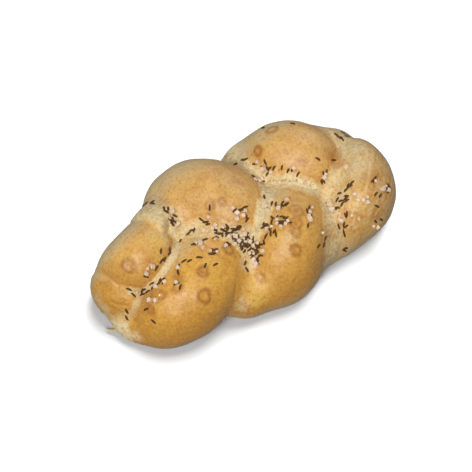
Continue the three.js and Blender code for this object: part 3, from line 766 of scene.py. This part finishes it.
for share, tone in [
    (attribute_node("honey"), HONEY),
    (mapped(patches, 0.5, 0.66, 0.0, 0.45), OCHRE),
    (mapped(patches, 0.34, 0.5, 0.45, 0.0), SUNNY),
    (mapped(streaks, 0.53, 0.68, 0.0, 0.85), OCHRE),
    # Deeper ochre low down, partly painted shade.
    (attribute_node("low_side"), OCHRE),
    # Paler yellow underneath, partly painted light from the table.
    (attribute_node("under"), YELLOW),
    # Paler khaki behind and on some swells, partly painted shade in dim cool light.
    (mapped(attribute_node("behind"), 0.0, 1.0, 0.0, 0.85), KHAKI),
    (mapped(attribute_node("stretched"), 0.0, 1.0, 0.0, 0.9), YELLOW),
    (crumb_share, crumb),
    # Painted shade: grey in the deeper seams and in the cracks of the torn crumb.
    (grey_share, GREYISH),
    (cracks, GREYISH),
    # Painted light, the bright patches.
    (attribute_node("sunny"), SUNNY),
    # Painted shade in the creases beside each seam's bead and in the fold grooves.
    (mapped(attribute_node("crease"), 0.1, 0.8, 0.0, 0.6), BROWN),
    # Rings, salt halos and blots; some of the blots are painted shade.
    (attribute_node("brown"), BROWN),
    (mapped(streaks, 0.34, 0.5, 0.42, 0.0), CREAM),
    (mapped(grain, 0.5, 0.7, 0.0, 0.4), BROWN),
    (mapped(grain, 0.3, 0.5, 0.3, 0.0), SUNNY),
    (mapped(pores, 0.5, 0.72, 0.0, 0.35), BROWN),
    (mapped(specks.outputs["Distance"], 0.08, 0.22, 0.5, 0.0), BROWN),
    # Scorched spots, and painted shade in the pores' pits.
    (attribute_node("burnt"), SCORCHED),
]:
    colour = mixed(share, colour, tone)
links.new(colour, surface.inputs["Base Color"])
links.new(mapped(crumb_share, 0.0, 1.0, GLOSS, MATT), surface.inputs["Roughness"])
surface.inputs["Specular IOR Level"].default_value = 0.5
surface.inputs["Sheen Weight"].default_value = 0.12
surface.inputs["Sheen Roughness"].default_value = 0.5
fine = bump_node(pores, distance=0.0003, strength=0.5)
coarse = bump_node(wrinkles, distance=0.0006, strength=0.5, under=fine)
links.new(coarse, surface.inputs["Normal"])
crust.data.materials.clear()
crust.data.materials.append(baked)
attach(crust, "root")
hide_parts("bun")


def laid_piece(name, grains, make_grain, mark_name):
    """One piece of all the grains, with a mark on each corner and normals outwards."""
    corners, faces, marks = [], [], []
    for grain in grains:
        points, sides, mark, thick = make_grain(grain["size"], grain["roll"])
        seat = grain["point"] + grain["normal"] * (thick * (0.5 - SUNK))
        base = len(corners)
        corners += [(grain["lie"] @ Vector(point) + seat) * MM for point in points]
        faces += [tuple(base + corner for corner in side) for side in sides]
        marks += mark
    mesh = bpy.data.meshes.new(name)
    mesh.from_pydata(corners, [], faces)
    layer = mesh.attributes.new(mark_name, "FLOAT", "POINT")
    layer.data.foreach_set("value", np.array(marks, np.float32))
    piece = bpy.data.objects.new(name, mesh)
    bpy.context.collection.objects.link(piece)
    bpy.ops.object.select_all(action="DESELECT")
    piece.select_set(True)
    bpy.context.view_layer.objects.active = piece
    bpy.ops.object.mode_set(mode="EDIT")
    bpy.ops.mesh.select_all(action="SELECT")
    bpy.ops.mesh.normals_make_consistent(inside=False)
    bpy.ops.object.mode_set(mode="OBJECT")
    return piece


# The caraway seeds, dried half fruits of the caraway plant. Each is a thin crescent with
# five pale ridges along it and a dark brown skin between them.
SEED_THICK = 1.3  # mm
SEED_CURVE = 0.06  # of a seed's length, how far its tips bend to one side
SEED_SIDES, SEED_BANDS = 10, 5
FURROW = 0.82  # a furrow's share of the ridges' radius
HUSK_DARK, HUSK_BROWN = (0.05, 0.02, 0.006, 1), (0.12, 0.05, 0.014, 1)
RIDGE_PALE = (0.30, 0.15, 0.05, 1)


def caraway(long, roll):
    """The points, sides and ridges of one seed, and its thickness."""
    points, ridges, sides = [(0, -long / 2, 0)], [0.0], []
    for band in range(1, SEED_BANDS):
        turn = math.pi * band / SEED_BANDS
        along, girth = -math.cos(turn), math.sin(turn)
        for side in range(SEED_SIDES):
            ridge = side % 2 == 0
            radius = SEED_THICK / 2 * girth * (1 if ridge else FURROW)
            angle = 2 * math.pi * side / SEED_SIDES
            points.append((radius * math.cos(angle), along * long / 2, radius * math.sin(angle)))
            ridges.append(1.0 if ridge else 0.0)
    points.append((0, long / 2, 0))
    ridges.append(0.0)
    tip = len(points) - 1
    for side in range(SEED_SIDES):
        after = (side + 1) % SEED_SIDES
        sides.append((0, 1 + side, 1 + after))
        for band in range(SEED_BANDS - 2):
            low, high = 1 + band * SEED_SIDES, 1 + (band + 1) * SEED_SIDES
            sides.append((low + side, high + side, high + after, low + after))
        last = 1 + (SEED_BANDS - 2) * SEED_SIDES
        sides.append((last + side, tip, last + after))
    bent = [(x + SEED_CURVE * long * (2 * y / long) ** 2, y, z) for x, y, z in points]
    return bent, sides, ridges, SEED_THICK


seeds = laid_piece("caraway_seeds", strewn_seeds, caraway, "ridge")
bpy.ops.object.shade_smooth()
husk, nodes, links, surface = plain_material("caraway_husk")
where = nodes.new("ShaderNodeTexCoord").outputs["Object"]
dark = mixed(noise_node(scale=260, detail=2), HUSK_DARK, HUSK_BROWN)
colour = mixed(mapped(attribute_node("ridge"), 0.55, 1.0, 0.0, 0.6), dark, RIDGE_PALE)
links.new(colour, surface.inputs["Base Color"])
surface.inputs["Roughness"].default_value = 0.6
surface.inputs["Specular IOR Level"].default_value = 0.2
seeds.data.materials.append(husk)
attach(seeds, "root")


# The salt, coarse grains of pretzel salt: blocky, cloudy lumps with rounded edges, which
# have taken up a little of the egg wash's colour.
SALT_UNEVEN = 0.35  # of a grain's size, how far a corner may be pulled in
SALT_EDGE = 0.2  # mm that its edges are worn off
SALT_PALE, SALT_PINKISH = (0.83, 0.68, 0.51, 1), (0.80, 0.52, 0.31, 1)
SALT_WHITE = (0.95, 0.86, 0.70, 1)


def salt_grain(size, roll):
    """The points, sides and tint of one grain, and its thickness."""
    half = size / 2
    points = []
    for number in range(8):
        pull = 1 - SALT_UNEVEN * next(roll)
        signs = (1 if number & 1 else -1, 1 if number & 2 else -1, 1 if number & 4 else -1)
        points.append(tuple(half * sign * pull for sign in signs))
    sides = [(0, 2, 3, 1), (4, 5, 7, 6), (0, 1, 5, 4), (2, 6, 7, 3), (0, 4, 6, 2), (1, 3, 7, 5)]
    tint = next(roll)
    return points, sides, [tint] * 8, size


salts = laid_piece("salt_crystals", strewn_salts, salt_grain, "tint")
edges = salts.modifiers.new("edges", "BEVEL")
edges.width = SALT_EDGE * MM
edges.segments = 1
edges.limit_method = "NONE"
bpy.ops.object.modifier_apply(modifier=edges.name)
bpy.ops.object.shade_flat()
cloudy, nodes, links, surface = plain_material("coarse_salt")
where = nodes.new("ShaderNodeTexCoord").outputs["Object"]
colour = mixed(attribute_node("tint"), SALT_PALE, SALT_PINKISH)
clouds = mapped(noise_node(scale=900, detail=2), 0.4, 0.65, 0.0, 0.6)
colour = mixed(clouds, colour, SALT_WHITE)
links.new(colour, surface.inputs["Base Color"])
surface.inputs["Roughness"].default_value = 0.45
salts.data.materials.append(cloudy)
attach(salts, "root")


# The scrap, a thin whisker of dried dough that was pulled from the rope's end and baked
# stiff beside the tail.
SCRAP_ROOT, SCRAP_TIP = (-87.5, -8.0, 4.0), (-94.5, -1.5, 2.6)
SCRAP_SIZE = (2.4, 0.9)  # mm wide and thick at its root
SCRAP_SAG, SCRAP_CURL = 0.8, 1.2  # mm that it bends down and sideways in its middle
SCRAP_TAPER, SCRAP_END = 0.6, 0.12  # how it narrows, and its end's share of the root
DRIED_DARK, DRIED_PALE = (0.50, 0.42, 0.25, 1), (0.74, 0.62, 0.38, 1)

bpy.ops.object.select_all(action="DESELECT")
bpy.ops.mesh.primitive_uv_sphere_add(segments=16, ring_count=24, radius=1)
scrap = bpy.context.object
scrap.name = scrap.data.name = "dough_scrap"
root, tip = Vector(plait(SCRAP_ROOT)), Vector(plait(SCRAP_TIP))
ahead = (tip - root).normalized()
aside = Vector((0, 0, 1)).cross(ahead).normalized()
above = ahead.cross(aside)
for point in scrap.data.vertices:
    x, y, z = point.co
    along = (z + 1) / 2
    taper = (1 - along) ** SCRAP_TAPER + SCRAP_END
    place = root.lerp(tip, along) - above * SCRAP_SAG * math.sin(math.pi * along)
    place += aside * SCRAP_CURL * math.sin(math.pi * along)
    place += aside * (x * taper * SCRAP_SIZE[0] / 2) + above * (y * taper * SCRAP_SIZE[1] / 2)
    point.co = Vector((place.x, place.y, max(place.z, 0))) * MM
bpy.ops.object.mode_set(mode="EDIT")
bpy.ops.mesh.select_all(action="SELECT")
bpy.ops.mesh.normals_make_consistent(inside=False)
bpy.ops.object.mode_set(mode="OBJECT")
bpy.ops.object.shade_smooth()
dried, nodes, links, surface = plain_material("dried_dough")
where = nodes.new("ShaderNodeTexCoord").outputs["Object"]
colour = mixed(noise_node(scale=700, detail=3), DRIED_DARK, DRIED_PALE)
links.new(colour, surface.inputs["Base Color"])
rough_skin = bump_node(noise_node(scale=900, detail=2), distance=0.0002, strength=0.5)
links.new(rough_skin, surface.inputs["Normal"])
surface.inputs["Roughness"].default_value = 0.6
scrap.data.materials.append(dried)
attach(scrap, "root")


# The floor, a plain pale table.
FLOOR_SIZE, FLOOR_GAP = 6.0, 0.0002  # m
bpy.ops.object.select_all(action="DESELECT")
bpy.ops.mesh.primitive_plane_add(size=FLOOR_SIZE, location=(0, 0, -FLOOR_GAP))
floor = bpy.context.object
floor.name = "floor"
pale_top, nodes, links, surface = plain_material("pale_table")
surface.inputs["Base Color"].default_value = (0.595, 0.6, 0.605, 1)
surface.inputs["Roughness"].default_value = 1.0
surface.inputs["Specular IOR Level"].default_value = 0.0
floor.data.materials.append(pale_top)
floor.visible_diffuse = False
floor.visible_glossy = False

# The light. A large soft lamp stands close to the camera, a little to its left, and a
# window behind to the right gives cool light, in a dim white room. The lamp over the
# table only whitens the table around the loaf's shadow.
KEY = dict(strength=2.45, softness=28, source=(-0.458, -0.369, 0.809), tint=(1, 1, 1))
WINDOW = dict(strength=0.85, softness=40, source=(0.66, 0.46, 0.6), tint=(0.86, 0.95, 1.0))
TABLE_LAMP = dict(strength=4.85, softness=35, source=(0.42, 0.18, 1.0), tint=(1, 1, 1))
ROOM = dict(strength=0.16, tint=(0.93, 0.97, 1.0, 1))
world = bpy.data.worlds.new("white_room")
world.use_nodes = True
room = world.node_tree.nodes["Background"]
room.inputs["Color"].default_value = ROOM["tint"]
room.inputs["Strength"].default_value = ROOM["strength"]
bpy.context.scene.world = world


def soft_lamp(name, facts):
    light = bpy.data.lights.new(name, "SUN")
    light.energy = facts["strength"]
    light.angle = math.radians(facts["softness"])
    light.color = facts["tint"]
    lamp = bpy.data.objects.new(name, light)
    bpy.context.collection.objects.link(lamp)
    lamp.rotation_euler = Vector(facts["source"]).to_track_quat("Z", "Y").to_euler()
    return lamp


soft_lamp("soft_lamp", KEY)
soft_lamp("window", WINDOW)
table_lamp = soft_lamp("table_lamp", TABLE_LAMP)
lit = bpy.data.collections.new("lit_by_table_lamp")
lit.objects.link(floor)
table_lamp.light_linking.receiver_collection = lit

# The camera stands to the left of the loaf's front and looks down on it.
VIEW_TURN, VIEW_RISE = -33.458, 60.691  # degrees
VIEW_AT, VIEW_FAR = (0.0, 0.0, 20.0), 755.7  # mm
FRAME = 472  # pixels
PER_MM = 1.796  # pixels to a millimetre at that distance
AXIS = (246.0, 227.1)  # the pixel that the lens looks straight at
SENSOR = 36.0  # mm
turn, rise = math.radians(VIEW_TURN), math.radians(VIEW_RISE)
back = Vector((math.sin(turn) * math.cos(rise), -math.cos(turn) * math.cos(rise), math.sin(rise)))
eye = bpy.data.cameras.new("camera")
eye.sensor_width = SENSOR
eye.lens = PER_MM * VIEW_FAR / FRAME * SENSOR
eye.shift_x = (FRAME / 2 - AXIS[0]) / FRAME
eye.shift_y = (AXIS[1] - FRAME / 2) / FRAME
camera = bpy.data.objects.new("camera", eye)
bpy.context.collection.objects.link(camera)
camera.location = (Vector(VIEW_AT) + Vector(BOX_MIDDLE) + back * VIEW_FAR) * MM
camera.rotation_euler = (math.pi / 2 - rise, 0, turn)
bpy.context.scene.camera = camera
bpy.context.scene.view_settings.view_transform = "Standard"
